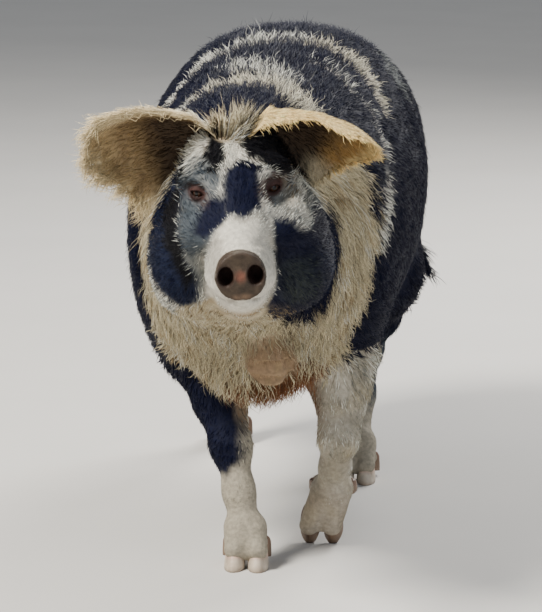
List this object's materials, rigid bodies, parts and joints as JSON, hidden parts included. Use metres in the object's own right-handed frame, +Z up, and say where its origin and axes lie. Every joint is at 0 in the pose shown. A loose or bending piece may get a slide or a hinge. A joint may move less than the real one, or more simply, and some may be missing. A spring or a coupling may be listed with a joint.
{
  "type": "pig",
  "caption": "Life-size still model of a hairy black-and-white lop-eared domestic pig, walking with its head lowered.",
  "frame": {"origin": "on the floor, under the middle of the pig's length and width", "axes": "+Z up; the pig walks and faces towards -Y; +X is towards the pig's left side"},
  "size_m": [0.4952, 1.4959, 0.8034],
  "materials": {
    "coat_body": "bristly black and cream coat over the trunk and neck",
    "coat_head": "short black, white and cream coat over the head",
    "coat_legs": "short coat over the legs, black on the right forearm",
    "coat_ears": "long golden hair over the ears",
    "coat_tail": "dark bristles with a tuft at the tip",
    "snout": "damp bare skin",
    "eye": "wet, dark brown",
    "claw": "worn horn"
  },
  "bodies": {
    "root": {"foreleg_left": "coat_legs", "foreleg_left_claw_inner": "claw", "foreleg_left_dewclaw_inner": "claw", "foreleg_left_claw_outer": "claw", "foreleg_left_dewclaw_outer": "claw", "foreleg_right": "coat_legs", "foreleg_right_claw_inner": "claw", "foreleg_right_dewclaw_inner": "claw", "foreleg_right_claw_outer": "claw", "foreleg_right_dewclaw_outer": "claw", "hindleg_left": "coat_legs", "hindleg_left_claw_inner": "claw", "hindleg_left_dewclaw_inner": "claw", "hindleg_left_claw_outer": "claw", "hindleg_left_dewclaw_outer": "claw", "hindleg_right": "coat_legs", "hindleg_right_claw_inner": "claw", "hindleg_right_dewclaw_inner": "claw", "hindleg_right_claw_outer": "claw", "hindleg_right_dewclaw_outer": "claw", "ear_left": "coat_ears", "eye_left": "eye", "ear_right": "coat_ears", "eye_right": "eye", "head": "coat_head", "snout": "snout", "neck": "coat_body", "trunk": "coat_body", "tail": "coat_tail"}
  },
  "joints": []
}
